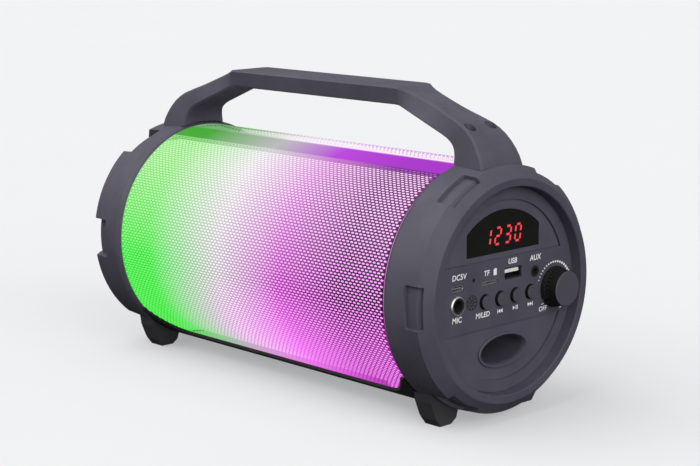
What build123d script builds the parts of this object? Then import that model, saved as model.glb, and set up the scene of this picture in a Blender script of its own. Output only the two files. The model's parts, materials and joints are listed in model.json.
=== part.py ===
"""Round party speaker with a carrying handle, a control end and a driver end.

Millimetres. X runs along the tube, with the control end at +X. The origin is on
the floor under the middle of the speaker, and +Z is up. Most sections are drawn
as (u, r): u is the distance along X from the middle of the body, r is the radius
from the tube's axis.
"""
import os
from math import cos, radians, sin

from build123d import *

os.makedirs("parts", exist_ok=True)

# ---------------------------------------------------------------- driving sizes
MID_X = -1.6               # middle of the body along X
AXIS_Z = 70.0              # tube axis above the floor
HALF = 143.5               # middle to the front plane of either end ring
CAP_U = 113.5              # inner edge of either cap
R_BAND = 67.7              # outside of the cap band
R_SHOULDER = 66.3          # control end: band radius at its outer edge
R_RIM = 59.9               # control end: outside of the flat end ring
REAR_SHOULDER = (140.5, 66.0)   # driver end: (u, r) of the band's outer edge
REAR_RIM = 61.5            # driver end: outside of the flat end ring
R_WELL = 55.5              # inside of the flat end ring
WELL = 6.4                 # end ring to the panel face
R_SLEEVE = 66.0            # outside of the perforated sleeve
SLEEVE_T = 1.2
R_DIFFUSER = 62.2
DIFFUSER_T = 1.5
R_TUBE = 56.4              # outside of the acoustic tube
TUBE_T = 2.4
PANEL_T = 3.0
R_PANEL = 54.8
FACE_U = HALF - WELL       # panel face

POCKETS = 6
POCKET_ARC = 20.0          # degrees
POCKET_DEPTH = 2.5         # control end
SCREW_RING_R = 51.6        # screws through the panel's and the driver's seats
SEAT_T = 3.2               # flange behind the panel or the driver

# Handle stations from the middle to one foot. Each row is the outer face then
# the inner face, as u, height above the axis, half width.
HANDLE_STATIONS = (
    (0.0, 103.4, 13.7, 0.0, 93.4, 13.2),
    (66.5, 103.4, 13.7, 67.5, 93.4, 13.1),
    (70.5, 103.1, 13.2, 70.5, 93.1, 13.0),
    (74.0, 101.9, 11.4, 73.0, 92.1, 13.0),
    (78.0, 100.4, 10.3, 76.0, 90.9, 13.0),
    (83.5, 98.5, 9.6, 81.5, 88.7, 13.0),
    (91.0, 95.9, 9.2, 88.5, 85.9, 13.0),
    (98.0, 93.3, 9.4, 94.0, 83.7, 13.0),
    (104.0, 91.1, 10.0, 99.0, 81.7, 13.0),
    (109.0, 89.4, 10.7, 102.8, 80.2, 13.0),
    (113.5, 87.7, 11.4, 106.2, 78.6, 13.1),
    (117.8, 86.0, 12.2, 109.0, 77.0, 13.4),
    (121.7, 83.7, 13.0, 111.0, 75.2, 13.8),
    (125.4, 80.8, 13.8, 112.5, 73.2, 14.4),
    (128.8, 77.2, 14.5, 113.5, 71.1, 15.1),
    (131.5, 73.4, 15.2, 113.9, 69.3, 15.6),
    (133.6, 69.6, 15.7, 114.1, 67.4, 16.0),
    (135.0, 65.6, 16.2, 114.2, 64.8, 16.4),
    (135.4, 61.0, 16.6, 114.3, 61.0, 16.7),
    (135.4, 56.0, 16.9, 114.3, 56.0, 17.0),
)
HANDLE_EDGE = 1.1          # bevel along the handle's edges

BUTTON_Y = (-15.3, -3.4, 8.5, 20.4)
BUTTON_Z = -4.0
BUTTON_D = 7.5
KNOB_Y = 40.0
KNOB_Z = -4.2
KNOB_D = 19.6
MIC_JACK_YZ = (-36.4, -2.9)
AUX_JACK_YZ = (24.1, 6.5)
USB_YZ = (6.6, 8.4)
CARD_YZ = (-11.8, 5.6)
CHARGE_YZ = (-35.9, 6.1)
LED_YZ = (-24.0, 8.6)
MIC_HOLES_YZ = (-25.2, -3.1)
PORT_YZ = (0.0, -32.5)
PORT_W = 37.0
PORT_H = 17.4
BAND_LOW = -18.4           # raised middle band of the panel
BAND_HIGH = 17.5
PANEL_SEAM = 0.12          # gap between the upper and the lower panel

AXLE = Axis((MID_X, 0, AXIS_Z), (1, 0, 0))


# ---------------------------------------------------------------- helpers
def save(node, shape):
    """Write one sub-part."""
    shape.label = node
    export_step(shape, "parts/" + node + ".step")


def ring(points, end=1, start=0.0, arc=360.0):
    """Revolve a closed (u, r) outline about the tube axis. end=-1 is the rear."""
    corners = [(MID_X + end * u, 0, AXIS_Z + r) for u, r in points]
    face = make_face(Polyline(*corners, close=True))
    turned = revolve(face, AXLE, arc)
    return turned.rotate(AXLE, start)


def tube(u0, u1, r_out, r_in, end=1, start=0.0, arc=360.0):
    """A plain ring between two stations."""
    return ring([(u0, r_in), (u0, r_out), (u1, r_out), (u1, r_in)], end, start, arc)


def face_plane(u, y=0.0, z=0.0, end=1):
    """A plane square to the tube, looking outwards, with local x along Y."""
    origin = (MID_X + end * u, y, AXIS_Z + z)
    return Plane(origin=origin, x_dir=(0, 1, 0), z_dir=(end, 0, 0))


def peg(u0, u1, y, z, diameter, end=1):
    """A round bar along X from u0 to u1."""
    return extrude(face_plane(u0, y, z, end) * Circle(diameter / 2), u1 - u0)


def block(u0, u1, y, z, w, h, end=1, corner=0.0):
    """A bar along X, w wide in Y and h tall in Z, with rounded corners."""
    outline = RectangleRounded(w, h, corner) if corner else Rectangle(w, h)
    return extrude(face_plane(u0, y, z, end) * outline, u1 - u0)


def oval(u0, u1, y, z, w, h, end=1):
    """A bar along X with a slot-shaped section, w wide overall."""
    return extrude(face_plane(u0, y, z, end) * SlotOverall(w, h), u1 - u0)


def ellipse(u0, u1, y, z, w, h, end=1):
    """A bar along X with an elliptical section."""
    return extrude(face_plane(u0, y, z, end) * Ellipse(w / 2, h / 2), u1 - u0)


def around(count, radius, start=0.0):
    """Points (y, z) spread evenly on a circle about the axis."""
    turns = [radians(start + 360 * i / count) for i in range(count)]
    return [(radius * cos(t), radius * sin(t)) for t in turns]


def screw(u_head, length, y, z, end, shank, head):
    """A pan screw along X, head outermost, with a cross recess."""
    body = peg(u_head - length, u_head, y, z, shank, end)
    body += peg(u_head, u_head + 0.6 * shank, y, z, head, end)
    for w, h in ((0.22 * head, 0.62 * head), (0.62 * head, 0.22 * head)):
        body -= block(u_head + 0.25 * shank, u_head + shank, y, z, w, h, end)
    return body


def band_body(extra=0.0):
    """Solid bounded by the outside of a cap, used to trim what sits on it."""
    front = ring([
        (0, 0), (0, R_BAND + extra), (CAP_U + 3.4, R_BAND + extra),
        (FACE_U, R_SHOULDER + extra), (HALF, R_RIM + extra), (HALF, 0),
    ])
    rear = ring([
        (0, 0), (0, R_BAND + extra), (CAP_U + 3.4, R_BAND + extra),
        (REAR_SHOULDER[0], REAR_SHOULDER[1] + extra), (HALF, REAR_RIM + extra),
        (HALF, 0),
    ], -1)
    return front + rear


# ---------------------------------------------------------------- caps
def cap(end, shoulder, rim, pocket):
    """End ring with six pockets, a lip for the sleeve and a seat flange."""
    r_in = 61.4
    back = FACE_U - PANEL_T - 0.2 - SEAT_T
    body = ring([
        (CAP_U, r_in), (CAP_U, 63.2), (CAP_U - 0.9, 63.2), (CAP_U - 0.9, 64.5),
        (CAP_U, 64.5), (CAP_U, 65.9), (CAP_U + 0.8, R_BAND - 0.9),
        (CAP_U + 3.2, R_BAND), shoulder,
        (HALF - 0.75, rim + 0.6), (HALF - 0.3, rim + 0.2),
        (HALF - 0.05, rim - 0.2), (HALF, rim - 0.7),
        (HALF, R_WELL + 0.5), (HALF - 0.6, R_WELL), (FACE_U, R_WELL - 0.5),
        (back + SEAT_T, R_WELL - 0.5), (back + SEAT_T, 49.5), (back, 49.5),
        (back, r_in),
    ], end)
    body += tube(back - 22, back + 0.5, R_TUBE + 2.2, R_TUBE + 0.2, end)
    for i in range(POCKETS):
        middle = 90 + 360 * i / POCKETS
        cutter = ring(pocket, end, middle - POCKET_ARC / 2, POCKET_ARC)
        upright = [e for e in cutter.edges()
                   if abs(e.tangent_at(0.5).X) < 0.2 and 8 < e.length < 16]
        body -= fillet(upright, 1.2)
    for y, z in around(4, SCREW_RING_R, 45):
        body -= peg(back - 1, back + SEAT_T + 1, y, z, 2.9, end)
    for side in (-1, 1):
        body -= handle_screw_hole(end, side, 4.0, SCREW_DEPTH + 0.3)
    return body


def front_pocket():
    """Outline of a shallow pocket that stops part way down the slope."""
    floor = R_BAND - POCKET_DEPTH
    return [(CAP_U + 15, floor - 0.5), (FACE_U - 1.7, floor - 0.9),
            (FACE_U + 0.5, floor - 3.1), (FACE_U + 2.6, floor - 1.0), (HALF, 76),
            (CAP_U + 15, 76)]


def rear_pocket():
    """Outline of a deep pocket that runs out through the end ring."""
    return [(CAP_U + 15, 62.6), (REAR_SHOULDER[0], 61.6), (HALF + 1, 58.6),
            (HALF + 1, 76), (CAP_U + 15, 76)]


# ---------------------------------------------------------------- handle
SCREW_U = 118.9            # where a handle screw meets the sloped leg
SCREW_Z = 85.4
SCREW_Y = 7.9
SCREW_TILT = 3.0           # degrees from upright, leaning outwards
SCREW_HEAD_DROP = 8.9      # leg surface to the top of the head's seat
SCREW_DEPTH = 22.4         # leg surface to the screw's tip


def screw_plane(end, side, drop):
    """Plane along a handle screw, drop mm below the leg's surface."""
    tilt = radians(SCREW_TILT)
    out = Vector(end * sin(tilt), 0, cos(tilt))
    top = Vector(MID_X + end * SCREW_U, side * SCREW_Y, AXIS_Z + SCREW_Z)
    return Plane(origin=top - out * drop, x_dir=(0, 1, 0), z_dir=out)


def handle_screw_hole(end, side, diameter, depth):
    """Round hole along a handle screw, open at the leg's surface."""
    hole = screw_plane(end, side, depth)
    return extrude(hole * Circle(diameter / 2), depth + 6)


def handle_section(row, end):
    """Bevelled section across the handle at one station."""
    u_out, z_out, w_out, u_in, z_in, w_in = row
    outer = Vector(MID_X + end * u_out, 0, AXIS_Z + z_out)
    inner = Vector(MID_X + end * u_in, 0, AXIS_Z + z_in)
    down = (inner - outer).normalized() * HANDLE_EDGE
    right = []
    for middle, w, step in ((outer, w_out, down), (inner, w_in, down * -1)):
        flat = middle + Vector(0, w - HANDLE_EDGE, 0)
        side = middle + step + Vector(0, w, 0)
        right.append((flat, side))
    points = [right[0][0], right[0][1], right[1][1], right[1][0]]
    points += [Vector(p.X, -p.Y, p.Z) for p in reversed(points)]
    return make_face(Polyline(*points, close=True))


def handle():
    """One bar with two legs, seated on the caps and screwed down."""
    rear = [handle_section(row, -1) for row in HANDLE_STATIONS[:0:-1]]
    front = [handle_section(row, 1) for row in HANDLE_STATIONS]
    shape = loft(rear + front, ruled=True)
    shape -= band_body()
    for end in (1, -1):
        for side in (-1, 1):
            shape -= handle_screw_hole(end, side, 6.5, 9)
            shape -= handle_screw_hole(end, side, 4.0, SCREW_DEPTH + 5)
    return shape


def handle_screws():
    """Four countersunk-deep screws through the legs into the caps."""
    parts = []
    for end in (1, -1):
        for side in (-1, 1):
            head = extrude(screw_plane(end, side, SCREW_HEAD_DROP) * Circle(2.9), 2.4)
            shank = extrude(screw_plane(end, side, SCREW_DEPTH) * Circle(1.9),
                            SCREW_DEPTH - SCREW_HEAD_DROP + 0.1)
            bolt = head + shank
            cross = screw_plane(end, side, SCREW_HEAD_DROP - 1.3)
            for w, h in ((1.0, 3.4), (3.4, 1.0)):
                bolt -= extrude(cross * Rectangle(w, h), 3)
            parts.append(bolt)
    return Compound(children=parts)


# ---------------------------------------------------------------- middle
def led_strips():
    """Eight lengthwise strips with their LEDs, one strip per 45 degrees."""
    parts = []
    half_len = CAP_U - 9.0
    leds = 16
    for i in range(8):
        angle = 22.5 + 45 * i
        strip = Box(2 * half_len, 9, 0.6)
        chips = [Pos(-half_len + (k + 0.5) * 2 * half_len / leds, 0, 1.0) * Box(5, 5, 1.5)
                 for k in range(leds)]
        strip = strip.fuse(*chips)
        seat = Location((MID_X, 0, AXIS_Z), (angle, 0, 0))
        parts.append(seat * Pos(0, 0, R_TUBE + 0.45) * strip)
    return Compound(children=parts)


RAIL_ARC = 64.0            # degrees
RAIL_FLARE = 36.0          # extra degrees where the rail meets a cap
RAIL_FLARE_LEN = 24.0


def base_rail():
    """Curved strip under the sleeve, flared where it meets each cap."""
    u_end = CAP_U - 0.4
    body = tube(-u_end, u_end, R_BAND, R_SLEEVE + 0.1, 1, 180 - RAIL_ARC / 2, RAIL_ARC)
    steps = 10
    for end in (1, -1):
        for k in range(steps):
            reach = RAIL_FLARE_LEN * (1 - k / steps)
            arc = RAIL_ARC + RAIL_FLARE * ((k + 1) / steps) ** 1.7
            u0 = u_end - reach
            body += tube(u0, u_end, R_BAND, R_SLEEVE + 0.1, end, 180 - arc / 2, arc)
    return body


def feet():
    """Four tapered feet under the caps."""
    outline = [(-45.2, -45.0), (-43.6, -56.0), (-39.6, -66.0), (-36.4, -AXIS_Z),
               (-28.0, -AXIS_Z), (-25.0, -68.0), (-22.4, -60.0), (-22.4, -45.0)]
    parts = []
    trim = band_body()
    for end in (1, -1):
        for side in (-1, 1):
            corners = [(MID_X + end * (CAP_U + 0.4), -side * y, AXIS_Z + z)
                       for y, z in outline]
            block_ = extrude(make_face(Polyline(*corners, close=True)), 12.0,
                             dir=(end, 0, 0))
            low = [e for e in block_.edges()
                   if e.center().Z < AXIS_Z - 66 and abs(e.tangent_at(0.5).X) < 0.1]
            block_ = chamfer(low, 0.7)
            parts.append(block_ - trim)
    return Compound(children=parts)


# ---------------------------------------------------------------- control end
def control_panel():
    """Round plate with a raised middle band and every control's opening."""
    back = FACE_U - PANEL_T
    low = FACE_U - 1.2
    body = peg(back, low, 0, 0, 2 * R_PANEL)
    rim = tube(low - 0.1, FACE_U, R_PANEL, 48.3)
    middle = block(low - 0.1, FACE_U, 0, (BAND_LOW + BAND_HIGH) / 2, 120,
                   BAND_HIGH - BAND_LOW)
    middle = middle & peg(low - 1, FACE_U + 1, 0, 0, 2 * R_PANEL)
    body = body.fuse(rim, middle)
    body -= display_outline(back - 1, 20, 0.15)
    for y in BUTTON_Y:
        body -= peg(back - 1, FACE_U + 1, y, BUTTON_Z, BUTTON_D + 0.8)
    body -= peg(back - 1, FACE_U + 1, KNOB_Y, KNOB_Z, 8.0)
    body -= peg(back - 1, FACE_U + 1, *MIC_JACK_YZ, 8.9)
    body -= peg(back - 1, FACE_U + 1, *AUX_JACK_YZ, 6.2)
    body -= block(back - 1, FACE_U + 1, *USB_YZ, 13.5, 6.3, corner=0.5)
    body -= block(back - 1, FACE_U + 1, *CARD_YZ, 12.7, 2.2, corner=0.5)
    body -= oval(back - 1, FACE_U + 1, *CHARGE_YZ, 9.2, 3.5)
    body -= peg(back - 1, FACE_U + 1, *LED_YZ, 2.1)
    body -= ellipse(back - 1, FACE_U + 1, *PORT_YZ, PORT_W + 0.3, PORT_H + 0.3)
    for y, z in [(0, 0)] + around(6, 1.5) + around(9, 2.9):
        body -= peg(back - 1, FACE_U + 1, MIC_HOLES_YZ[0] + y,
                    MIC_HOLES_YZ[1] + z, 0.9)
    for y, z in around(4, SCREW_RING_R, 45):
        body -= peg(back - 1, back + 2.0, y, z, 2.2)
    return body


def below_band(gap):
    """Block that covers everything below the panel's raised middle band."""
    return block(FACE_U - 10, FACE_U + 10, 0, BAND_LOW - gap - 30.0, 130, 60)


def display_outline(u0, depth, grow):
    """Solid in the display's shape: flat foot, upright sides, round top."""
    half = 28.0 + grow
    foot = 20.5 - grow
    top = 32.4 + grow
    crown = 42.9 + grow
    plane = face_plane(u0)
    edges = [
        Line((half, foot), (half, top)),
        ThreePointArc((half, top), (0, crown), (-half, top)),
        Line((-half, top), (-half, foot)),
        Line((-half, foot), (half, foot)),
    ]
    return extrude(plane * make_face(edges), depth)


def display_module():
    """Digit block with seven-bar wells, on its carrier behind the lens."""
    back = FACE_U - PANEL_T
    body = block(back - 6.2, back - 0.6, 0, 30.0, 50, 16, corner=1)
    body += block(back - 7.8, back - 6.2, 0, 30.0, 54, 17)
    for y in (-13.5, -4.5, 4.5, 13.5):
        for z in (25.0, 30.0, 35.0):
            body -= block(back - 1.2, back, y, z, 4.4, 1.2)
        for side in (-1, 1):
            for z in (27.5, 32.5):
                body -= block(back - 1.2, back, y + side * 2.9, z, 1.2, 3.6)
    return body


def push_button(y):
    """Round cap with a retaining skirt and a stem to its switch."""
    cap_ = peg(FACE_U - PANEL_T + 0.2, FACE_U + 2.0, y, BUTTON_Z, BUTTON_D)
    cap_ = chamfer(cap_.edges().sort_by(Axis.X)[-1], 0.3)
    skirt = peg(FACE_U - PANEL_T - 1.5, FACE_U - PANEL_T - 0.5, y, BUTTON_Z, 9.8)
    neck = peg(FACE_U - PANEL_T - 0.6, FACE_U - PANEL_T + 0.3, y, BUTTON_Z, BUTTON_D)
    stem = peg(FACE_U - PANEL_T - 3.0, FACE_U - PANEL_T - 1.4, y, BUTTON_Z, 2.6)
    return cap_ + neck + skirt + stem


BOARD_U = 126.0            # outer face of the circuit board
BOARD_T = 1.6
SWITCH_TOP = FACE_U - PANEL_T - 3.9


def tact_switches():
    """Four push switches on the board."""
    parts = []
    for y in BUTTON_Y:
        case = block(BOARD_U, SWITCH_TOP - 0.8, y, BUTTON_Z, 6, 6, corner=0.5)
        plunger = peg(SWITCH_TOP - 0.9, SWITCH_TOP, y, BUTTON_Z, 3.2)
        parts.append(case + plunger)
    return Compound(children=parts)


def volume_knob():
    """Ribbed tapered knob with a pointer notch in its skirt and a shaft bore."""
    top = HALF + 3.2
    foot = FACE_U + 0.5
    radius = KNOB_D / 2
    taper = [(foot, 0), (foot, radius + 1.5), (foot + 1.2, radius + 1.3),
             (foot + 4.0, radius + 0.2), (top - 0.5, radius), (top - 0.2, radius - 0.2),
             (top, radius - 0.5), (top, 0)]
    corners = [(MID_X + u, KNOB_Y, AXIS_Z + KNOB_Z + r) for u, r in taper]
    axle = Axis((MID_X, KNOB_Y, AXIS_Z + KNOB_Z), (1, 0, 0))
    body = revolve(make_face(Polyline(*corners, close=True)), axle)
    for y, z in around(30, radius + 0.55):
        body -= peg(foot + 1.6, top - 1.0, KNOB_Y + y, KNOB_Z + z, 1.0)
    turn = radians(215)
    body -= peg(foot - 1, top - 0.6, KNOB_Y + (radius + 0.9) * cos(turn),
                KNOB_Z + (radius + 0.9) * sin(turn), 1.8)
    body -= peg(foot - 1, top - 2.4, KNOB_Y, KNOB_Z, 6.0)
    return body


def knob_shaft():
    """Round shaft pressed into the knob."""
    return peg(FACE_U - PANEL_T - 4.5, HALF + 0.8, KNOB_Y, KNOB_Z, 6.0)


def volume_pot():
    """Potentiometer can on the board with a hollow threaded bush."""
    back = FACE_U - PANEL_T
    body = peg(BOARD_U, back - 1.0, KNOB_Y, KNOB_Z, 16.4)
    body += peg(back - 1.1, FACE_U - 0.6, KNOB_Y, KNOB_Z, 7.6)
    body -= peg(back - 5.0, FACE_U + 1, KNOB_Y, KNOB_Z, 6.7)
    return body


def jack(y, z, bore, barrel, case, depth, lip):
    """Round blind socket: a box through the board and a barrel in the panel."""
    back = FACE_U - PANEL_T
    mouth = FACE_U + lip
    body = block(mouth - depth - 1.5, back - 0.3, y, z, case, case, corner=0.6)
    body += peg(back - 0.4, mouth, y, z, barrel)
    body -= peg(mouth - depth, mouth + 1, y, z, bore)
    return body


def mic_jack_nut():
    """Flanged ring nut on the large socket."""
    y, z = MIC_JACK_YZ
    body = peg(FACE_U + 0.05, FACE_U + 1.3, y, z, 10.2)
    body = chamfer(body.edges().sort_by(Axis.X)[-1], 0.5)
    return body - peg(FACE_U - 1, FACE_U + 2, y, z, 8.5)


def usb_port():
    """Folded metal shell of the wide data socket."""
    y, z = USB_YZ
    body = block(BOARD_U - 4.0, FACE_U - 0.7, y, z, 13.1, 5.9, corner=0.4)
    body -= block(BOARD_U - 3.4, FACE_U + 1, y, z, 12.3, 5.1, corner=0.3)
    return body


def usb_tongue():
    """Contact carrier inside the wide socket."""
    y, z = USB_YZ
    body = block(BOARD_U - 3.35, BOARD_U - 2.0, y, z, 12.1, 4.7)
    body += block(BOARD_U - 2.1, FACE_U - 1.3, y, z + 1.1, 11.0, 1.8)
    return body


def card_slot():
    """Memory-card holder behind its slit."""
    y, z = CARD_YZ
    body = block(BOARD_U, FACE_U - PANEL_T - 0.2, y, z, 14.6, 3.6, corner=0.3)
    body += block(FACE_U - PANEL_T - 0.3, FACE_U - 0.7, y, z, 12.4, 1.9)
    body -= block(BOARD_U + 1.2, FACE_U, y, z, 11.4, 1.0)
    return body


def charge_port():
    """Small oval charging socket with its tongue."""
    y, z = CHARGE_YZ
    body = oval(BOARD_U, FACE_U - 0.3, y, z, 8.9, 3.2)
    body -= oval(BOARD_U + 1.2, FACE_U + 1, y, z, 8.3, 2.5)
    body += block(BOARD_U + 1.0, FACE_U - 1.2, y, z, 6.6, 0.7)
    return body


def bass_port():
    """Elliptical tube with a flared, scooped mouth, running back into the tube."""
    y, z = PORT_YZ
    w = PORT_W - 3.0
    h = PORT_H - 3.0
    body = ellipse(FACE_U - 42, FACE_U - 0.4, y, z, PORT_W - 0.4, PORT_H - 0.4)
    lip = ellipse(FACE_U - 1.15, FACE_U - 0.1, y, z, PORT_W + 1.6, PORT_H + 1.6)
    body += fillet(lip.edges().group_by(Axis.X)[-1], 0.6)
    body -= ellipse(FACE_U - 43, FACE_U + 1, y, z, w, h)
    mouth = loft([
        face_plane(FACE_U - 3.4, y, z) * Ellipse(w / 2, h / 2),
        face_plane(FACE_U - 1.2, y, z) * Ellipse(w / 2 + 0.45, h / 2 + 0.45),
        face_plane(FACE_U + 0.1, y, z) * Ellipse(w / 2 + 1.1, h / 2 + 1.1),
    ])
    return body - mouth


def main_board():
    """Round circuit board cut back for the port and the wide socket."""
    body = peg(BOARD_U - BOARD_T, BOARD_U - 0.05, 0, 0, 96)
    body -= block(BOARD_U - 3, BOARD_U + 1, 0, -40, 120, 36.5)
    body -= block(BOARD_U - 3, BOARD_U + 1, *USB_YZ, 13.6, 6.4)
    body -= block(BOARD_U - 3, BOARD_U + 1, *MIC_JACK_YZ, 12.6, 12.6)
    body -= block(BOARD_U - 3, BOARD_U + 1, *AUX_JACK_YZ, 7.0, 7.0)
    for y, z in ((-40, 20), (40, 20), (-40, -18), (40, -18)):
        body -= peg(BOARD_U - 3, BOARD_U + 1, y, z, 3.3)
    chips = ((-20, 16, 12, 12), (12, -15, 9, 9), (32, 17.4, 8, 11), (-16, -14, 14, 6))
    for y, z, w, h in chips:
        body += block(BOARD_U - BOARD_T - 2.0, BOARD_U - BOARD_T + 0.1, y, z, w, h)
    return body


def board_screws():
    """Four screws and spacers between the board and the panel."""
    parts = []
    back = FACE_U - PANEL_T
    for y, z in ((-40, 20), (40, 20), (-40, -18), (40, -18)):
        spacer = peg(BOARD_U, back, y, z, 5.0)
        shank = peg(BOARD_U - BOARD_T - 0.1, BOARD_U + 0.1, y, z, 3.0)
        head = peg(BOARD_U - BOARD_T - 1.9, BOARD_U - BOARD_T - 0.05, y, z, 5.6)
        parts.append(spacer + shank + head)
    return Compound(children=parts)


# ---------------------------------------------------------------- battery
def battery_cells():
    """Two round cells side by side along X."""
    parts = []
    for y in (-9.6, 9.6):
        cell = peg(-32.5, 32.5, y, -35.0, 18.4)
        cap_ = peg(32.4, 33.8, y, -35.0, 6.0)
        parts.append(cell + cap_)
    return Compound(children=parts)


def battery_holder():
    """Open tray for the cells, shaped to the tube's floor."""
    body = block(-37, 37, 0, -41.0, 44, 20)
    for y in (-9.6, 9.6):
        body -= peg(-34.4, 34.4, y, -35.0, 18.8)
    body -= block(-34.4, 34.4, 0, -28.0, 39.0, 13.0)
    return body & peg(-40, 40, 0, 0, 2 * (R_TUBE - TUBE_T) - 0.1)


# ---------------------------------------------------------------- driver end
SEAT_U = FACE_U - PANEL_T - 0.2 - SEAT_T      # inner face of the driver's seat
CONE_EDGE_R = 37.0


def woofer_basket():
    """Pressed frame: flange, windowed cone wall and back ring."""
    flange = tube(SEAT_U - 1.6, SEAT_U - 0.8, 53.6, 44.8, -1)
    wall = ring([(SEAT_U - 1.2, 44.8), (SEAT_U - 1.2, 46.4), (SEAT_U - 22, 33.4),
                 (SEAT_U - 22, 21.0), (SEAT_U - 20.6, 21.0), (SEAT_U - 20.6, 32.4)],
                -1)
    body = flange + wall
    for y, z in around(6, 40):
        window = peg(SEAT_U - 18.5, SEAT_U - 5, y, z, 15, -1)
        body -= window
    for y, z in around(4, SCREW_RING_R, 45):
        body -= peg(SEAT_U - 3, SEAT_U, y, z, 3.2, -1)
    return body


def woofer_magnet():
    """Ring magnet between two plates, with the pole piece."""
    body = tube(SEAT_U - 24.6, SEAT_U - 22.05, 30.0, 13.4, -1)
    body += tube(SEAT_U - 37.0, SEAT_U - 24.5, 33.0, 16.0, -1)
    body += peg(SEAT_U - 41.0, SEAT_U - 36.9, 0, 0, 60.0, -1)
    body += peg(SEAT_U - 37.0, SEAT_U - 22.4, 0, 0, 22.8, -1)
    return body


def woofer_cone():
    """Paper cone, widening towards the grille."""
    return ring([(SEAT_U - 15.0, 13.2), (SEAT_U - 15.0, 14.0), (SEAT_U - 3.0, 36.6),
                 (SEAT_U - 2.4, CONE_EDGE_R), (SEAT_U - 1.8, CONE_EDGE_R),
                 (SEAT_U - 1.8, 36.0), (SEAT_U - 13.8, 13.2)], -1)


def dust_cap():
    """Shallow dome over the voice coil."""
    outline = []
    for k in range(7):
        angle = radians(15 * k)
        outline.append((SEAT_U - 13.75 + 4.4 * cos(angle), 13.1 * sin(angle)))
    outline.append((SEAT_U - 14.6, 13.1))
    outline.append((SEAT_U - 14.6, 12.3))
    for k in range(6, -1, -1):
        angle = radians(15 * k)
        outline.append((SEAT_U - 14.4 + 4.4 * cos(angle), 12.3 * sin(angle)))
    return ring(outline, -1)


def voice_coil():
    """Coil former reaching into the magnet gap."""
    return tube(SEAT_U - 30.0, SEAT_U - 14.7, 12.95, 12.1, -1)


def woofer_surround():
    """Half-roll of rubber between cone and flange."""
    outline = [(SEAT_U - 2.4, 37.5), (SEAT_U - 1.6, 37.5)]
    for k in range(9):
        angle = radians(22.5 * k)
        outline.append((SEAT_U - 1.6 + 3.0 * sin(angle), 41.3 - 3.2 * cos(angle)))
    outline += [(SEAT_U - 1.6, 46.6), (SEAT_U - 0.8, 46.6), (SEAT_U - 0.8, 45.3)]
    for k in range(8, -1, -1):
        angle = radians(22.5 * k)
        outline.append((SEAT_U - 2.4 + 3.0 * sin(angle), 41.3 - 2.9 * cos(angle)))
    keep = []
    for u, r in outline:
        if not keep or abs(u - keep[-1][0]) + abs(r - keep[-1][1]) > 0.05:
            keep.append((u, r))
    return ring(keep, -1)


def woofer_spider():
    """Ring-ribbed centring disc behind the cone."""
    inner, outer = 13.6, 30.6
    waves = 6
    steps = 24
    near, far = [], []
    for k in range(steps + 1):
        r = inner + (outer - inner) * k / steps
        lift = 0.7 * sin(2 * 3.14159265 * waves * k / steps)
        near.append((SEAT_U - 18.4 + lift, r))
        far.append((SEAT_U - 18.9 + lift, r))
    return ring(near + far[::-1], -1)


def baffle_gasket():
    """Foam ring between the driver's flange and the rear cap."""
    body = tube(SEAT_U - 0.8, SEAT_U, 53.4, 49.6, -1)
    for y, z in around(4, SCREW_RING_R, 45):
        body -= peg(SEAT_U - 2, SEAT_U + 1, y, z, 3.0, -1)
    return body


def woofer_screws():
    """Four screws through the driver's flange into the rear cap."""
    parts = []
    for y, z in around(4, SCREW_RING_R, 45):
        shank = peg(SEAT_U - 1.7, SEAT_U + 2.6, y, z, 2.6, -1)
        head = peg(SEAT_U - 3.2, SEAT_U - 1.65, y, z, 4.2, -1)
        parts.append(shank + head)
    return Compound(children=parts)


def rear_grille():
    """Perforated disc with rings of holes."""
    back = FACE_U - 1.6
    body = peg(back, FACE_U, 0, 0, 2 * R_PANEL, -1)
    body += tube(FACE_U - PANEL_T, back + 0.1, R_PANEL, 52.0, -1)
    for level in range(1, 12):
        for y, z in around(6 * level, 4.3 * level):
            body -= peg(back - 1, FACE_U + 1, y, z, 2.6, -1)
    return body - peg(back - 1, FACE_U + 1, 0, 0, 2.6, -1)


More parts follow.
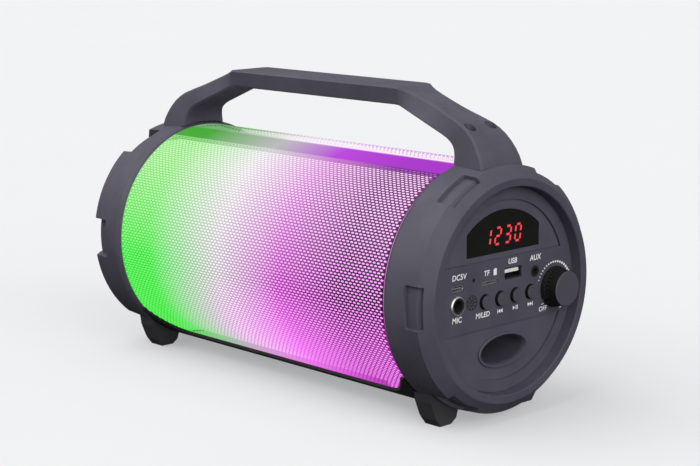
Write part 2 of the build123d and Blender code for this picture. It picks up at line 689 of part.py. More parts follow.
# ---------------------------------------------------------------- build
def main():
    """Make every sub-part."""
    save("front_cap", cap(1, (FACE_U, R_SHOULDER), R_RIM, front_pocket()))
    save("rear_cap", cap(-1, REAR_SHOULDER, REAR_RIM, rear_pocket()))
    save("handle", handle())
    save("handle_screws", handle_screws())
    save("feet", feet())
    save("base_rail", base_rail())

    u_sleeve = CAP_U - 0.3
    save("grille_sleeve", tube(-u_sleeve, u_sleeve, R_SLEEVE, R_SLEEVE - SLEEVE_T))
    u_diffuser = CAP_U - 1.0
    r_in = R_DIFFUSER - DIFFUSER_T
    diffuser = tube(-u_diffuser, u_diffuser, R_DIFFUSER, r_in)
    for end in (1, -1):
        diffuser += tube(u_diffuser - 1.3, u_diffuser - 0.1, 64.5, r_in + 0.2, end)
    save("diffuser_tube", diffuser)
    u_spine = u_diffuser - 1.4
    save("top_spine", tube(-u_spine, u_spine, 62.9, R_DIFFUSER + 0.1, 1, -12, 24))
    u_tube = SEAT_U - 0.3
    save("inner_tube", tube(-u_tube, u_tube, R_TUBE, R_TUBE - TUBE_T))
    save("led_strips", led_strips())

    panel = control_panel()
    save("control_panel", panel - below_band(0.0))
    save("port_panel", panel & below_band(PANEL_SEAM))
    save("display_window", display_outline(FACE_U - PANEL_T, PANEL_T - 1.0, 0))
    save("display_module", display_module())
    for name, y in zip(("mode", "previous", "play", "next"), BUTTON_Y):
        save("button_" + name, push_button(y))
    save("tact_switches", tact_switches())
    save("volume_knob", volume_knob())
    save("knob_shaft", knob_shaft())
    save("volume_pot", volume_pot())
    save("mic_jack", jack(*MIC_JACK_YZ, 6.4, 8.4, 12, 30.0, 0.9))
    save("mic_jack_nut", mic_jack_nut())
    save("aux_jack", jack(*AUX_JACK_YZ, 3.6, 5.9, 6.4, 14.0, 0.3))
    save("usb_port", usb_port())
    save("usb_tongue", usb_tongue())
    save("card_slot", card_slot())
    save("charge_port", charge_port())
    save("charge_led", peg(BOARD_U, FACE_U - 0.2, *LED_YZ, 1.9))
    save("mic_capsule", peg(BOARD_U, FACE_U - PANEL_T - 0.2, *MIC_HOLES_YZ, 8.0))
    save("bass_port", bass_port())
    save("main_board", main_board())
    save("board_screws", board_screws())
    panel_screws = [screw(-SEAT_U, 5.0, y, z, -1, 2.0, 4.2)
                    for y, z in around(4, SCREW_RING_R, 45)]
    save("panel_screws", Compound(children=panel_screws))

    save("battery_cells", battery_cells())
    save("battery_holder", battery_holder())

    save("rear_grille", rear_grille())
    save("baffle_gasket", baffle_gasket())
    save("woofer_basket", woofer_basket())
    save("woofer_magnet", woofer_magnet())
    save("woofer_cone", woofer_cone())
    save("dust_cap", dust_cap())
    save("voice_coil", voice_coil())
    save("woofer_surround", woofer_surround())
    save("woofer_spider", woofer_spider())
    save("woofer_screws", woofer_screws())


main()
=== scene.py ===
"""Looks of the party speaker: lit perforated sleeve, moulded plastics, printed
panel marks, lit display, plain studio."""

import json
from math import cos, pi, radians, sin

import bpy
import numpy as np
from mathutils import Matrix, Vector


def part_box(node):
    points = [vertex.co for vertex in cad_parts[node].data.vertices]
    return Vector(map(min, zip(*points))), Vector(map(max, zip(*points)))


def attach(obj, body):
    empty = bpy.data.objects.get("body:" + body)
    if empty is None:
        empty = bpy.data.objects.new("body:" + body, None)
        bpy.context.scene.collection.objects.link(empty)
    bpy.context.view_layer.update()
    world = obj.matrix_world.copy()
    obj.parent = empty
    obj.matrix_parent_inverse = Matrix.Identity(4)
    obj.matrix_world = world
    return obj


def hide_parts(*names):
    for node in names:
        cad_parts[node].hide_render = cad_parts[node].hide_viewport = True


MM = 0.001

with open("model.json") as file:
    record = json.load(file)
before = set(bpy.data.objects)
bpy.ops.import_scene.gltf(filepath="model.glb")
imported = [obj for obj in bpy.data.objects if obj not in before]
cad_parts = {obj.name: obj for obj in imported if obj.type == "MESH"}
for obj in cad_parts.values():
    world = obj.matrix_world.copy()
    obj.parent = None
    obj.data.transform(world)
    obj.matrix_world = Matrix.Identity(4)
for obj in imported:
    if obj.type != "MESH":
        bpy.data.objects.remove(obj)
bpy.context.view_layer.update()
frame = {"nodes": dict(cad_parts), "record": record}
nodes = frame["nodes"]

# ---------------------------------------------------------------- places
sleeve_low, sleeve_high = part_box("grille_sleeve")
AXIS_Z = (sleeve_low.z + sleeve_high.z) / 2
R_SLEEVE = sleeve_high.z - AXIS_Z
PANEL_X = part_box("control_panel")[1].x
FAR_X = sleeve_low.x               # driver end of the sleeve
NEAR_X = sleeve_high.x             # control end of the sleeve


def middle(node):
    """Centre of a CAD node's box."""
    low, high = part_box(node)
    return (low + high) / 2


# ---------------------------------------------------------------- colour
def rgb(code):
    """Linear colour from a display colour in three or six hex digits."""
    if len(code) == 3:
        code = "".join(2 * mark for mark in code)
    values = [int(code[i:i + 2], 16) / 255 for i in (0, 2, 4)]
    return tuple(v / 12.92 if v < 0.04045 else ((v + 0.055) / 1.055) ** 2.4
                 for v in values)


# ---------------------------------------------------------------- node helpers
def new_material(name):
    """An empty node material and its Principled shader."""
    mat = bpy.data.materials.new(name)
    mat.use_nodes = True
    shader = mat.node_tree.nodes["Principled BSDF"]
    return mat, mat.node_tree, shader


def add(tree, kind, **values):
    """Add a node and set its properties."""
    node = tree.nodes.new(kind)
    for key, value in values.items():
        setattr(node, key, value)
    return node


def object_place(tree, stretch=(1, 1, 1)):
    """Object-space position, optionally stretched."""
    place = add(tree, "ShaderNodeTexCoord")
    mapping = add(tree, "ShaderNodeMapping")
    mapping.inputs["Scale"].default_value = stretch
    tree.links.new(place.outputs["Object"], mapping.inputs["Vector"])
    return mapping.outputs["Vector"]


def noise(tree, place, scale, detail=3.0):
    """A noise field over the surface."""
    node = add(tree, "ShaderNodeTexNoise")
    node.inputs["Scale"].default_value = scale
    node.inputs["Detail"].default_value = detail
    tree.links.new(place, node.inputs["Vector"])
    return node.outputs["Fac"]


def ramp(tree, value, stops):
    """A colour ramp from (position, colour) stops."""
    node = add(tree, "ShaderNodeValToRGB")
    while len(node.color_ramp.elements) < len(stops):
        node.color_ramp.elements.new(0.5)
    for element, (position, colour) in zip(node.color_ramp.elements, stops):
        element.position = position
        element.color = (*colour, 1)
    tree.links.new(value, node.inputs["Fac"])
    return node.outputs["Color"]


def remap(tree, value, low, high, to_low=0.0, to_high=1.0):
    """Map a value's range, clamped."""
    node = add(tree, "ShaderNodeMapRange")
    node.inputs["From Min"].default_value = low
    node.inputs["From Max"].default_value = high
    node.inputs["To Min"].default_value = to_low
    node.inputs["To Max"].default_value = to_high
    tree.links.new(value, node.inputs["Value"])
    return node.outputs["Result"]


def blend_colours(tree, factor, first, second):
    """Mix two colours by a factor."""
    node = add(tree, "ShaderNodeMix", data_type="RGBA")
    tree.links.new(factor, node.inputs["Factor"])
    tree.links.new(first, node.inputs[6])
    tree.links.new(second, node.inputs[7])
    return node.outputs[2]


def bump(tree, shader, height, strength, distance=0.1 * MM):
    """Drive a shader's normal from a height field."""
    node = add(tree, "ShaderNodeBump")
    node.inputs["Strength"].default_value = strength
    node.inputs["Distance"].default_value = distance
    tree.links.new(height, node.inputs["Height"])
    tree.links.new(node.outputs["Normal"], shader.inputs["Normal"])


# ---------------------------------------------------------------- materials
def moulded(name, colour, rough, grain, grain_size, vary=0.12,
            spread=0.06, stretch=(1, 1, 1), metal=0.0, coat=0.0, specular=0.5):
    """Solid material: tone variation, uneven gloss and a fine surface grain."""
    mat, tree, shader = new_material(name)
    place = object_place(tree, stretch)
    tone = noise(tree, place, 45, 4)
    dark = tuple(c * (1 - vary) for c in colour)
    light = tuple(min(1, c * (1 + vary)) for c in colour)
    base = ramp(tree, tone, [(0.3, dark), (0.7, light)])
    tree.links.new(base, shader.inputs["Base Color"])
    gloss = noise(tree, place, 160, 2)
    uneven = remap(tree, gloss, 0.3, 0.7, rough - spread, rough + spread)
    tree.links.new(uneven, shader.inputs["Roughness"])
    shader.inputs["Metallic"].default_value = metal
    shader.inputs["Coat Weight"].default_value = coat
    shader.inputs["Specular IOR Level"].default_value = specular
    fine = noise(tree, place, 1 / (grain_size * MM), 2)
    bump(tree, shader, fine, grain)
    return mat


def shade_painted_sides(name, face, side):
    """Moulded cap with painted shade: light where it faces along the tube, darkened
    elsewhere as painted shade, with less sheen there.
    """
    mat, tree, shader = new_material(name)
    place = object_place(tree)
    facing = add(tree, "ShaderNodeTexCoord")
    split = add(tree, "ShaderNodeSeparateXYZ")
    tree.links.new(facing.outputs["Normal"], split.inputs["Vector"])
    front = remap(tree, split.outputs["X"], 0.55, 0.8)
    tone = noise(tree, place, 60, 3)
    # The side colour is painted shade: surfaces turned away from the tube's length get this
    # darker tone.
    shaded_sides = ramp(tree, tone, [(0.3, tuple(c * 0.85 for c in side)), (0.7, side)])
    faces = ramp(tree, tone, [(0.3, tuple(c * 0.9 for c in face)), (0.7, face)])
    tree.links.new(blend_colours(tree, front, shaded_sides, faces), shader.inputs["Base Color"])
    tree.links.new(remap(tree, front, 0, 1, 0.7, 0.42), shader.inputs["Roughness"])
    tree.links.new(remap(tree, front, 0, 1, 0.1, 0.4),
                   shader.inputs["Specular IOR Level"])
    bump(tree, shader, noise(tree, place, 3300, 2), 0.1)
    return mat


def woven(name, colour, rough, pitch, depth):
    """Cloth: crossed threads with tone variation."""
    mat, tree, shader = new_material(name)
    place = object_place(tree)
    waves = []
    for axis in ("Y", "Z"):
        wave = add(tree, "ShaderNodeTexWave", bands_direction=axis)
        wave.inputs["Scale"].default_value = 0.31 / (pitch * MM)
        wave.inputs["Distortion"].default_value = 0.6
        tree.links.new(place, wave.inputs["Vector"])
        waves.append(wave.outputs["Fac"])
    cross = add(tree, "ShaderNodeMath", operation="MULTIPLY")
    tree.links.new(waves[0], cross.inputs[0])
    tree.links.new(waves[1], cross.inputs[1])
    dark = tuple(c * 0.7 for c in colour)
    tree.links.new(ramp(tree, cross.outputs[0], [(0.0, dark), (0.8, colour)]),
                   shader.inputs["Base Color"])
    shader.inputs["Roughness"].default_value = rough
    bump(tree, shader, cross.outputs[0], depth, 0.2 * MM)
    return mat


# Light along the tube: green at the driver end, white, then magenta to the control
# end. Shares are of the tube's length and heights are in mm above the axis.
LIT_GREEN = "6f6"
LIT_WHITE = "fef"
LIT_PINK = "f9f"
WEB_GREEN = "4d4"
WEB_WHITE = "bbb"
WEB_MAGENTA = "a3a"
WEB_DARK = "202"
RIB_GREEN = "4a3"
RIB_MAGENTA = "b4d"
GREEN_TO = 0.11                    # end of the pure green
WHITE_AT = 0.40                    # whitest place
MAGENTA_AT = 0.63
DEEPEST_AT = 0.86                  # the last colour holds from here to the end
UNDER_HEIGHT, AXIS_HEIGHT, TOP_HEIGHT = -38, -5, 50
RIB_EDGES = (61.6, 65.3)           # heights of the plain stripe's two edges
RIB_BEHIND = (58.6, 61.9)          # the same stripe on the parts behind the sleeve
SOLID_ARC = (7.5, 21.0)            # stripe without holes, degrees from the top


def row_of(first, second, third, last):
    """Four colours on the tube's length."""
    return [(GREEN_TO, rgb(first)), (WHITE_AT, rgb(second)),
            (MAGENTA_AT, rgb(third)), (DEEPEST_AT, rgb(last))]


LIT_LOW = row_of(LIT_GREEN, LIT_WHITE, LIT_PINK, LIT_PINK)
LIT_HIGH = row_of("bfa", LIT_WHITE, "fcf", "fcf")
WEB_UNDER = row_of(WEB_GREEN, "d9d", "e6e", WEB_MAGENTA)
WEB_AXIS = row_of(WEB_GREEN, WEB_WHITE, WEB_MAGENTA, WEB_DARK)
WEB_TOP = row_of("9d8", "ddd", "c8c", "636")
RIB = row_of(RIB_GREEN, WEB_WHITE, RIB_MAGENTA, "a3c")
CREST = row_of("7a7", LIT_WHITE, LIT_WHITE, LIT_WHITE)
LIT_ROWS = ((AXIS_HEIGHT, LIT_LOW), (TOP_HEIGHT, LIT_HIGH))
WEB_ROWS = ((UNDER_HEIGHT, WEB_UNDER), (AXIS_HEIGHT, WEB_AXIS), (TOP_HEIGHT, WEB_TOP))


def light_field(tree, rows):
    """Colour over the tube: one ramp per height, blended between heights."""
    place = add(tree, "ShaderNodeTexCoord")
    split = add(tree, "ShaderNodeSeparateXYZ")
    tree.links.new(place.outputs["Object"], split.inputs["Vector"])
    along = remap(tree, split.outputs["X"], FAR_X, NEAR_X)
    height, row = rows[0]
    field = ramp(tree, along, row)
    for next_height, next_row in rows[1:]:
        share = remap(tree, split.outputs["Z"], AXIS_Z + height * MM,
                      AXIS_Z + next_height * MM)
        field = blend_colours(tree, share, field, ramp(tree, along, next_row))
        height = next_height
    return field


def stripe(edge, row, next_row):
    """Two close heights that make a sharp change of colour."""
    return ((edge - 0.15, row), (edge + 0.15, next_row))


def with_rib(rows, edges):
    """Rows with the rib's sharp stripe and the crest above it."""
    return rows + stripe(edges[0], rows[-1][1], RIB) + stripe(edges[1], RIB, CREST)


def glowing(name, rows, base, rough):
    """Plastic lit from behind."""
    mat, tree, shader = new_material(name)
    field = light_field(tree, rows)
    tree.links.new(field, shader.inputs["Emission Color"])
    shader.inputs["Emission Strength"].default_value = 1.0
    place = object_place(tree)
    tone = noise(tree, place, 60, 3)
    dark = tuple(c * 0.8 for c in base)
    tree.links.new(ramp(tree, tone, [(0.3, dark), (0.7, base)]),
                   shader.inputs["Base Color"])
    shader.inputs["Roughness"].default_value = rough
    shader.inputs["Specular IOR Level"].default_value = 0.08
    bump(tree, shader, noise(tree, place, 2500, 2), 0.1)
    return mat


def lamp(name, code, strength):
    """Plain lit colour with a slight unevenness."""
    mat, tree, shader = new_material(name)
    place = object_place(tree)
    colour = rgb(code)
    edge = tuple(c * 0.8 for c in colour)
    glow = ramp(tree, noise(tree, place, 300, 2), [(0.3, edge), (0.7, colour)])
    tree.links.new(glow, shader.inputs["Emission Color"])
    tree.links.new(glow, shader.inputs["Base Color"])
    shader.inputs["Emission Strength"].default_value = strength
    return mat


def smoked_lens(name):
    """Nearly black glossy lens."""
    mat, tree, shader = new_material(name)
    place = object_place(tree)
    tone = noise(tree, place, 120, 2)
    base = ramp(tree, tone, [(0.3, (0.012, 0.013, 0.011)), (0.7, (0.014, 0.015, 0.013))])
    tree.links.new(base, shader.inputs["Base Color"])
    shader.inputs["Roughness"].default_value = 0.16
    shader.inputs["Specular IOR Level"].default_value = 0.12
    return mat


BODY = (0.086, 0.081, 0.108)
SLOTS = {
    "shell_plastic": moulded("shell_plastic", BODY, 0.52, 0.12, 0.5, specular=0.2),
    "panel_plastic": moulded("panel_plastic", BODY, 0.5, 0.14, 0.4, specular=0.3),
    "dark_plastic": moulded("dark_plastic", (0.022, 0.022, 0.021), 0.6, 0.2, 0.5,
                            specular=0.2),
    # Button plastic: body tone where it faces along the tube, painted shade where it turns
    # away.
    "button_plastic": shade_painted_sides("button_plastic", (0.084, 0.080, 0.104),
                                 (0.016, 0.016, 0.015)),
    "dark_steel": moulded("dark_steel", (0.16, 0.16, 0.17), 0.42, 0.06, 0.3, 0.05, 0.05,
                          metal=1.0),
    "steel": moulded("steel", (0.80, 0.80, 0.82), 0.42, 0.06, 0.3, 0.05, 0.05,
                     metal=1.0),
    "screw_steel": moulded("screw_steel", (0.30, 0.30, 0.31), 0.38, 0.12, 0.2, 0.15,
                           0.08, (1, 1, 4), metal=1.0),
    "rubber": moulded("rubber", (0.042, 0.040, 0.045), 0.75, 0.3, 0.6, specular=0.2),
    "tube_board": moulded("tube_board", (0.72, 0.72, 0.74), 0.55, 0.15, 0.6, 0.05),
    "foam": moulded("foam", (0.03, 0.03, 0.032), 0.95, 0.9, 0.8, 0.3),
    "board": moulded("board", (0.015, 0.13, 0.05), 0.35, 0.3, 1.5, 0.3, 0.1, coat=0.3),
    "magnet": moulded("magnet", (0.06, 0.06, 0.065), 0.6, 0.4, 0.8, 0.2, metal=0.3),
    "cell_wrap": moulded("cell_wrap", (0.03, 0.13, 0.42), 0.28, 0.1, 2.0, 0.1, coat=0.4),
    "red_led": moulded("red_led", (0.030, 0.010, 0.010), 0.3, 0.05, 0.3, coat=0.3),
    "lens": smoked_lens("lens"),
    "paper_cone": moulded("paper_cone", (0.035, 0.035, 0.038), 0.85, 0.8, 0.9, 0.3),
    "cloth": woven("cloth", (0.42, 0.27, 0.10), 0.8, 0.8, 0.6),
    "mark_white": moulded("mark_white", (0.95, 0.95, 0.97), 0.6, 0.05, 0.3, 0.04),
    "display_red": lamp("display_red", "e03c46", 0.82),
    "led_white": moulded("led_white", (0.8, 0.8, 0.76), 0.4, 0.1, 1.0, 0.08),
    "frosted": glowing("frosted", with_rib(LIT_ROWS, RIB_BEHIND), (0.10, 0.10, 0.10),
                       0.7),
    "mesh_plastic": glowing("mesh_plastic", with_rib(WEB_ROWS, RIB_EDGES),
                            (0.006, 0.005, 0.006), 0.75),
}


# ---------------------------------------------------------------- CAD nodes
def light_nothing(piece):
    """Keep a glowing or pale piece out of other surfaces' light and reflections."""
    piece.visible_diffuse = False
    piece.visible_glossy = False


def dress_cad():
    """Give every CAD node its slot's material."""
    slot_of = {p["node"]: p["material_slot"] for p in frame["record"]["subparts"]}
    for name, node in nodes.items():
        node.data.materials.clear()
        node.data.materials.append(SLOTS[slot_of[name]])
    # The USB port gets darker steel than its slot gives: painted shade for the shell set
    # back in its recess.
    nodes["usb_port"].data.materials[0] = SLOTS["dark_steel"]
    for name in ("diffuser_tube", "top_spine"):
        light_nothing(nodes[name])


# ---------------------------------------------------------------- mesh helpers
def mesh_piece(name, points, faces, slot, smooth=False):
    """A mesh in the CAD frame that rides on the body."""
    mesh = bpy.data.meshes.new(name)
    mesh.from_pydata(points, [], faces)
    mesh.polygons.foreach_set("use_smooth", [smooth] * len(mesh.polygons))
    mesh.update()
    piece = bpy.data.objects.new(name, mesh)
    bpy.context.scene.collection.objects.link(piece)
    mesh.materials.append(SLOTS[slot])
    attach(piece, "body")
    return piece


# ---------------------------------------------------------------- sleeve
HOLE_STEP_X = 3.05 * MM
HOLE_STEP_ARC = 1.635 * MM
HOLE_LONG = 1.26 * MM              # half length of a hole
HOLE_HIGH = 0.51 * MM              # half height of a hole
HOLED_ARC = 148.0                  # degrees each side of the top
LIP_WIDE = 3.3 * MM                # lit lip behind the outermost holes
LIP_FLARE = 24 * MM                # its extra width underneath
LIP_FLARE_FROM = 118               # degrees from the top
LIP_TURNS = 96


def on_sleeve(flat, radius):
    """(x, turn from the top towards -Y) to points on the sleeve."""
    x, turn = flat[:, 0], flat[:, 1]
    return np.stack([x, -radius * np.sin(turn), AXIS_Z + radius * np.cos(turn)], 1)


def grille():
    """Sleeve with staggered lengthwise holes, a plain stripe each side of the top
    and a plain strip underneath."""
    radius = R_SLEEVE - 0.1 * MM
    length = NEAR_X - FAR_X
    columns = round((length - 0.6 * MM) / HOLE_STEP_X)
    start_x = (NEAR_X + FAR_X - columns * HOLE_STEP_X) / 2
    end_x = start_x + columns * HOLE_STEP_X
    rows = round(2 * radians(HOLED_ARC) * radius / HOLE_STEP_ARC)
    step = 2 * radians(HOLED_ARC) / rows
    half_x, half_a = HOLE_STEP_X / 2, step / 2
    outer = [(-half_x, 0), (-half_x, -half_a), (half_x, -half_a),
             (half_x, 0), (half_x, half_a), (-half_x, half_a)]
    a, b = HOLE_LONG, HOLE_HIGH / radius
    inner = [(-a, 0), (-0.5 * a, -b), (0.5 * a, -b), (a, 0), (0.5 * a, b), (-0.5 * a, b)]
    cell = np.array(outer + inner)
    centres = []
    plain = [(FAR_X, start_x, -HOLED_ARC, HOLED_ARC, 96),
             (end_x, NEAR_X, -HOLED_ARC, HOLED_ARC, 96),
             (FAR_X, NEAR_X, HOLED_ARC, 360 - HOLED_ARC, 24)]
    for row in range(rows):
        turn = -radians(HOLED_ARC) + (row + 0.5) * step
        low, high = (turn - half_a) * 180 / pi, (turn + half_a) * 180 / pi
        if SOLID_ARC[0] < abs(turn) * 180 / pi < SOLID_ARC[1]:
            plain.append((start_x, end_x, low, high, 1))
            continue
        shift = (row % 2) * half_x
        if shift:
            plain.append((start_x, start_x + half_x, low, high, 1))
            plain.append((end_x - half_x, end_x, low, high, 1))
        for column in range(columns - row % 2):
            centres.append((start_x + (column + 0.5) * HOLE_STEP_X + shift, turn))
    flat = (np.array(centres)[:, None, :] + cell[None]).reshape(-1, 2)
    points = [tuple(p) for p in on_sleeve(flat, radius)]
    faces = []
    for base in range(0, len(points), 12):
        for k in range(6):
            n = (k + 1) % 6
            faces.append((base + k, base + n, base + 6 + n, base + 6 + k))
    for x0, x1, low, high, turns in plain:
        for k in range(turns):
            t0 = radians(low + (high - low) * k / turns)
            t1 = radians(low + (high - low) * (k + 1) / turns)
            corners = on_sleeve(np.array([(x0, t0), (x1, t0), (x1, t1), (x0, t1)]), radius)
            faces.append(tuple(range(len(points), len(points) + 4)))
            points += [tuple(p) for p in corners]
    piece = mesh_piece("grille_mesh", points, faces, "mesh_plastic", smooth=True)
    light_nothing(piece)
    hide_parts("grille_sleeve")


def edge_glow():
    """Lit lip of the diffuser close behind the outermost holes at either end,
    wider underneath, where the rail flares out."""
    outer, inner = R_SLEEVE - 0.25 * MM, R_SLEEVE - 0.6 * MM
    turns, arc = LIP_TURNS, radians(HOLED_ARC)
    for name, edge, way in (("lit_lip_far", FAR_X, 1), ("lit_lip_near", NEAR_X, -1)):
        points, faces = [], []
        for k in range(turns + 1):
            turn = -arc + 2 * arc * k / turns
            below = abs(turn) - radians(LIP_FLARE_FROM)
            wide = LIP_WIDE + LIP_FLARE * max(0, below / radians(30))
            end = edge + way * 0.1 * MM
            profile = [(end, inner), (end, outer),
                       (edge + way * wide, outer), (edge + way * wide, inner)]
            for x, radius in profile:
                points += [tuple(p) for p in on_sleeve(np.array([(x, turn)]), radius)]
        for k in range(turns):
            for n in range(4):
                m = (n + 1) % 4
                faces.append((4 * k + n, 4 * k + m, 4 * k + 4 + m, 4 * k + 4 + n))
        faces += [(0, 1, 2, 3), (4 * turns, 4 * turns + 1, 4 * turns + 2, 4 * turns + 3)]
        light_nothing(mesh_piece(name, points, faces, "frosted"))


# ---------------------------------------------------------------- panel marks
def on_panel(y, z, lift):
    """Point lift mm over the panel face, y and z in mm from the tube axis."""
    return (PANEL_X + lift * MM, y * MM, AXIS_Z + z * MM)


def flat_mark(name, outlines, slot="mark_white", thick=0.08, x=None):
    """Thin raised mark on the panel, from (y, z) outlines in mm: print, lit digits and
    painted hole shade.
    """
    points, faces = [], []
    for outline in outlines:
        base, n = len(points), len(outline)
        for lift in (-0.02, thick):
            for y, z in outline:
                place = Vector(on_panel(y, z, lift))
                if x is not None:
                    place.x = x + lift * MM
                points.append(tuple(place))
        faces.append(tuple(range(base + n, base + 2 * n)))
        faces.append(tuple(range(base + n - 1, base - 1, -1)))
        for k in range(n):
            m = (k + 1) % n
            faces.append((base + k, base + m, base + n + m, base + n + k))
    return mesh_piece(name, points, faces, slot)


def disc(y, z, radius, n):
    """Round outline."""
    return [(y + radius * cos(2 * pi * k / n), z + radius * sin(2 * pi * k / n))
            for k in range(n)]


def bar(y0, z0, y1, z1, wide):
    """Straight stroke outline."""
    along = Vector((y1 - y0, z1 - z0)).normalized()
    side = Vector((-along.y, along.x)) * wide / 2
    return [(y0 - side.x, z0 - side.y), (y1 - side.x, z1 - side.y),
            (y1 + side.x, z1 + side.y), (y0 + side.x, z0 + side.y)]


DIAL_DOTS = 17
DIAL_R = 13.6


def volume_marks():
    """Dots that grow over the knob, and a dash at each end of its turn."""
    centre = middle("volume_knob")
    cy, cz = centre.y / MM, (centre.z - AXIS_Z) / MM
    dots = []
    for k in range(DIAL_DOTS):
        turn = radians(158 - 128 * k / (DIAL_DOTS - 1))
        radius = 0.34 + 0.030 * k
        dots.append(disc(cy + DIAL_R * cos(turn), cz + DIAL_R * sin(turn), radius, 12))
    dots.append(bar(cy - 10.2, cz - 8.6, cy - 8.6, cz - 8.2, 0.5))
    dots.append(bar(cy + 4.8, cz - 12.6, cy + 6.2, cz - 12.2, 0.7))
    flat_mark("volume_dots", dots)


def microphone_hole_shade():
    """Dark ring and dark dots over the microphone: painted shade of its holes and the
    groove round them.
    """
    centre = middle("mic_capsule")
    cy, cz = centre.y / MM, (centre.z - AXIS_Z) / MM
    outlines = [disc(cy, cz, 0.55, 10)]
    for count, radius in ((6, 1.5), (9, 2.9)):
        for k in range(count):
            turn = 2 * pi * k / count
            outlines.append(disc(cy + radius * cos(turn), cz + radius * sin(turn), 0.6, 10))
    pieces = 24
    for k in range(pieces):
        t0, t1 = 2 * pi * k / pieces, 2 * pi * (k + 1) / pieces
        outlines.append([(cy + r * cos(t), cz + r * sin(t))
                         for r, t in ((3.7, t0), (4.1, t0), (4.1, t1), (3.7, t1))])
    flat_mark("microphone_hole_shade", outlines, "dark_plastic", thick=0.04)


def icons():
    """Previous, play and next symbols under their buttons."""
    z = -10.8
    y = middle("button_previous").y / MM
    flat_mark("icon_previous", [
        bar(y - 2.0, z - 1.1, y - 2.0, z + 1.1, 0.4),
        [(y - 1.7, z), (y + 0.1, z - 1.1), (y + 0.1, z + 1.1)],
        [(y + 0.1, z), (y + 1.9, z - 1.1), (y + 1.9, z + 1.1)]])
    y = middle("button_play").y / MM
    flat_mark("icon_play", [
        [(y - 1.9, z - 1.1), (y - 0.1, z), (y - 1.9, z + 1.1)],
        bar(y + 0.7, z - 1.1, y + 0.7, z + 1.1, 0.5),
        bar(y + 1.7, z - 1.1, y + 1.7, z + 1.1, 0.5)])
    y = middle("button_next").y / MM
    flat_mark("icon_next", [
        [(y - 1.9, z - 1.1), (y - 0.1, z), (y - 1.9, z + 1.1)],
        [(y - 0.1, z - 1.1), (y + 1.7, z), (y - 0.1, z + 1.1)],
        bar(y + 2.0, z - 1.1, y + 2.0, z + 1.1, 0.4)])


def label(name, text, y, z, size, weight=0.07):
    """Printed word on the panel, centred at (y, z)."""
    curve = bpy.data.curves.new(name, "FONT")
    curve.body = text
    curve.size = size * MM
    curve.align_x = "CENTER"
    curve.align_y = "CENTER"
    curve.extrude = 0.04 * MM
    curve.offset = weight * MM
    curve.shear = 0.12
    curve.resolution_u = 3
    shape = bpy.data.objects.new(name + "_curve", curve)
    bpy.context.scene.collection.objects.link(shape)
    bpy.context.view_layer.update()
    mesh = bpy.data.meshes.new_from_object(shape)
    bpy.data.objects.remove(shape)
    stand = Matrix(((0, 0, 1, 0), (1, 0, 0, 0), (0, 1, 0, 0), (0, 0, 0, 1)))
    mesh.transform(Matrix.Translation(on_panel(y, z, 0.04)) @ stand)
    piece = bpy.data.objects.new(name, mesh)
    bpy.context.scene.collection.objects.link(piece)
    mesh.materials.clear()
    mesh.materials.append(SLOTS["mark_white"])
    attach(piece, "body")


def labels():
    """Generic words beside the sockets and the knob."""
    label("label_mic", "MIC", -36.6, -10.6, 4.2)
    label("label_mode", "M/LED", -17.0, -10.9, 3.9)
    label("label_usb", "USB", 6.0, 14.7, 4.0)
    label("label_aux", "AUX", 24.2, 13.9, 4.2)
    label("label_card", "TF", -14.2, 10.9, 4.0)
    label("label_charge", "DC5V", -35.0, 11.8, 4.2)
    label("label_off", "OFF", 30.8, -15.3, 3.8, 0.05)
    y, z = -7.6, 10.9
    flat_mark("icon_card", [[(y - 1.2, z - 1.8), (y + 1.2, z - 1.8), (y + 1.2, z + 1.8),
                             (y - 0.4, z + 1.8), (y - 1.2, z + 1.0)]])


# ---------------------------------------------------------------- display
DISPLAY_TEXT = "1230"
SEGMENTS = {"0": "abcdef", "1": "bc", "2": "abged", "3": "abgcd"}
DIGIT_STEP = 7.8
DIGIT_WIDE, DIGIT_HIGH, DIGIT_THICK = 4.0, 8.6, 1.2
DIGIT_LEAN = 0.14


def digit(text, y, z, wide, high, thick):
    """Outlines of one seven-bar digit, centred at (y, z)."""
    w, h = wide / 2, high / 2
    gap = thick * 0.6
    bars = {
        "a": (y - w + gap, z + h, y + w - gap, z + h),
        "g": (y - w + gap, z, y + w - gap, z),
        "d": (y - w + gap, z - h, y + w - gap, z - h),
        "f": (y - w, z + gap, y - w, z + h - gap),
        "b": (y + w, z + gap, y + w, z + h - gap),
        "e": (y - w, z - h + gap, y - w, z - gap),
        "c": (y + w, z - h + gap, y + w, z - gap),
    }
    return [bar(*bars[s], thick) for s in SEGMENTS[text]]


def display():
    """Four lit digits just over the lens, leaning like a seven-bar display."""
    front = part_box("display_window")[1].x + 0.02 * MM
    outlines = []
    for k, text in enumerate(DISPLAY_TEXT):
        strokes = digit(text, -12.2 + DIGIT_STEP * k, 29.4, DIGIT_WIDE, DIGIT_HIGH,
                        DIGIT_THICK)
        for outline in strokes:
            outlines.append([(y + DIGIT_LEAN * (z - 29.6), z) for y, z in outline])
    flat_mark("display_digits", outlines, "display_red", thick=0.04, x=front)


# ---------------------------------------------------------------- studio
# Sky tone by direction, from straight down to straight up: dark below the horizon.
SKY = [(0.0, (0.12, 0.12, 0.12)), (0.44, (0.08, 0.08, 0.08)), (0.52, (0.22, 0.22, 0.23)),
       (0.68, (0.72, 0.72, 0.74)), (1.0, (1.0, 1.0, 1.02))]
SKY_STRENGTH = 0.52
FLOOR_GLOW = 0.42                  # share of the floor's tone that shadows can't take
PAPER = (0.455, 0.457, 0.461)
FLOOR_HALF = 30.0
VIEW_TURN, VIEW_LIFT, VIEW_ROLL = 46.85, 10.75, -0.36    # degrees
VIEW_FROM = (0.7349, -0.6732, 0.2714)
FOCAL = 89.84


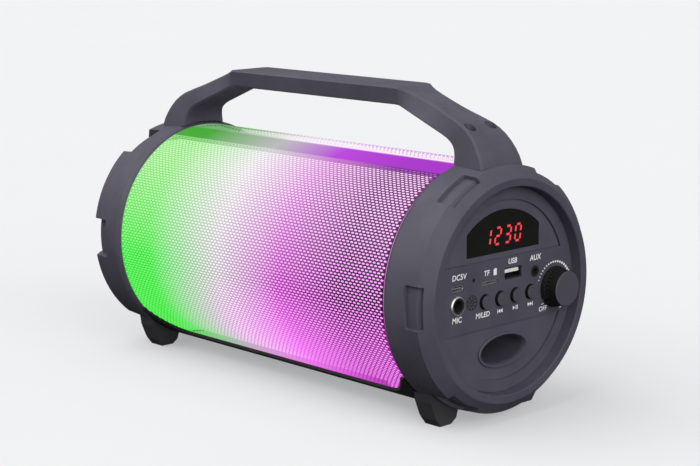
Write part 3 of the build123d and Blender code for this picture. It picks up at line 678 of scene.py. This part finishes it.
def soft_sun(name, place, spread, strength):
    """Wide even light from the direction of a place, aimed at the speaker."""
    light = bpy.data.lights.new(name, "SUN")
    light.angle = radians(spread)
    light.energy = strength
    sun = bpy.data.objects.new(name, light)
    bpy.context.scene.collection.objects.link(sun)
    sun.matrix_world = Vector(place).to_track_quat("Z", "Y").to_matrix().to_4x4()


def studio():
    """Pale floor, soft light and the camera."""
    size = FLOOR_HALF
    mesh = bpy.data.meshes.new("floor")
    mesh.from_pydata([(-size, -size, 0), (size, -size, 0), (size, size, 0),
                      (-size, size, 0)], [], [(0, 1, 2, 3)])
    floor = bpy.data.objects.new("floor", mesh)
    bpy.context.scene.collection.objects.link(floor)
    mat, tree, shader = new_material("floor_paper")
    place = object_place(tree)
    tone = noise(tree, place, 3, 2)
    tree.links.new(ramp(tree, tone, [(0.0, PAPER), (1.0, tuple(1.03 * c for c in PAPER))]),
                   shader.inputs["Base Color"])
    shader.inputs["Roughness"].default_value = 0.95
    shader.inputs["Specular IOR Level"].default_value = 0.0
    shader.inputs["Emission Color"].default_value = (*rgb("eff0f2"), 1)
    shader.inputs["Emission Strength"].default_value = FLOOR_GLOW
    mesh.materials.append(mat)
    light_nothing(floor)

    world = bpy.data.worlds.new("studio")
    bpy.context.scene.world = world
    world.use_nodes = True
    tree = world.node_tree
    sky = tree.nodes["Background"]
    way = add(tree, "ShaderNodeTexCoord")
    split = add(tree, "ShaderNodeSeparateXYZ")
    tree.links.new(way.outputs["Generated"], split.inputs["Vector"])
    up = remap(tree, split.outputs["Z"], -1, 1)
    tree.links.new(ramp(tree, up, SKY), sky.inputs["Color"])
    sky.inputs["Strength"].default_value = SKY_STRENGTH

    soft_sun("key", (-0.9, -1.2, 1.9), 70, 2.0)
    soft_sun("end", (2.4, -0.6, 0.6), 70, 2.3)

    scene = bpy.context.scene
    scene.view_settings.view_transform = "Standard"
    lens = bpy.data.cameras.new("camera")
    lens.lens = FOCAL
    lens.sensor_width = 36
    lens.clip_end = 100
    camera = bpy.data.objects.new("camera", lens)
    scene.collection.objects.link(camera)
    spin = Matrix.Rotation(radians(VIEW_TURN), 4, "Z")
    lift = Matrix.Rotation(radians(90 - VIEW_LIFT), 4, "X")
    roll = Matrix.Rotation(radians(VIEW_ROLL), 4, "Z")
    camera.matrix_world = Matrix.Translation(VIEW_FROM) @ spin @ lift @ roll
    scene.camera = camera


# ---------------------------------------------------------------- build
dress_cad()
grille()
edge_glow()
volume_marks()
microphone_hole_shade()
icons()
labels()
display()
studio()
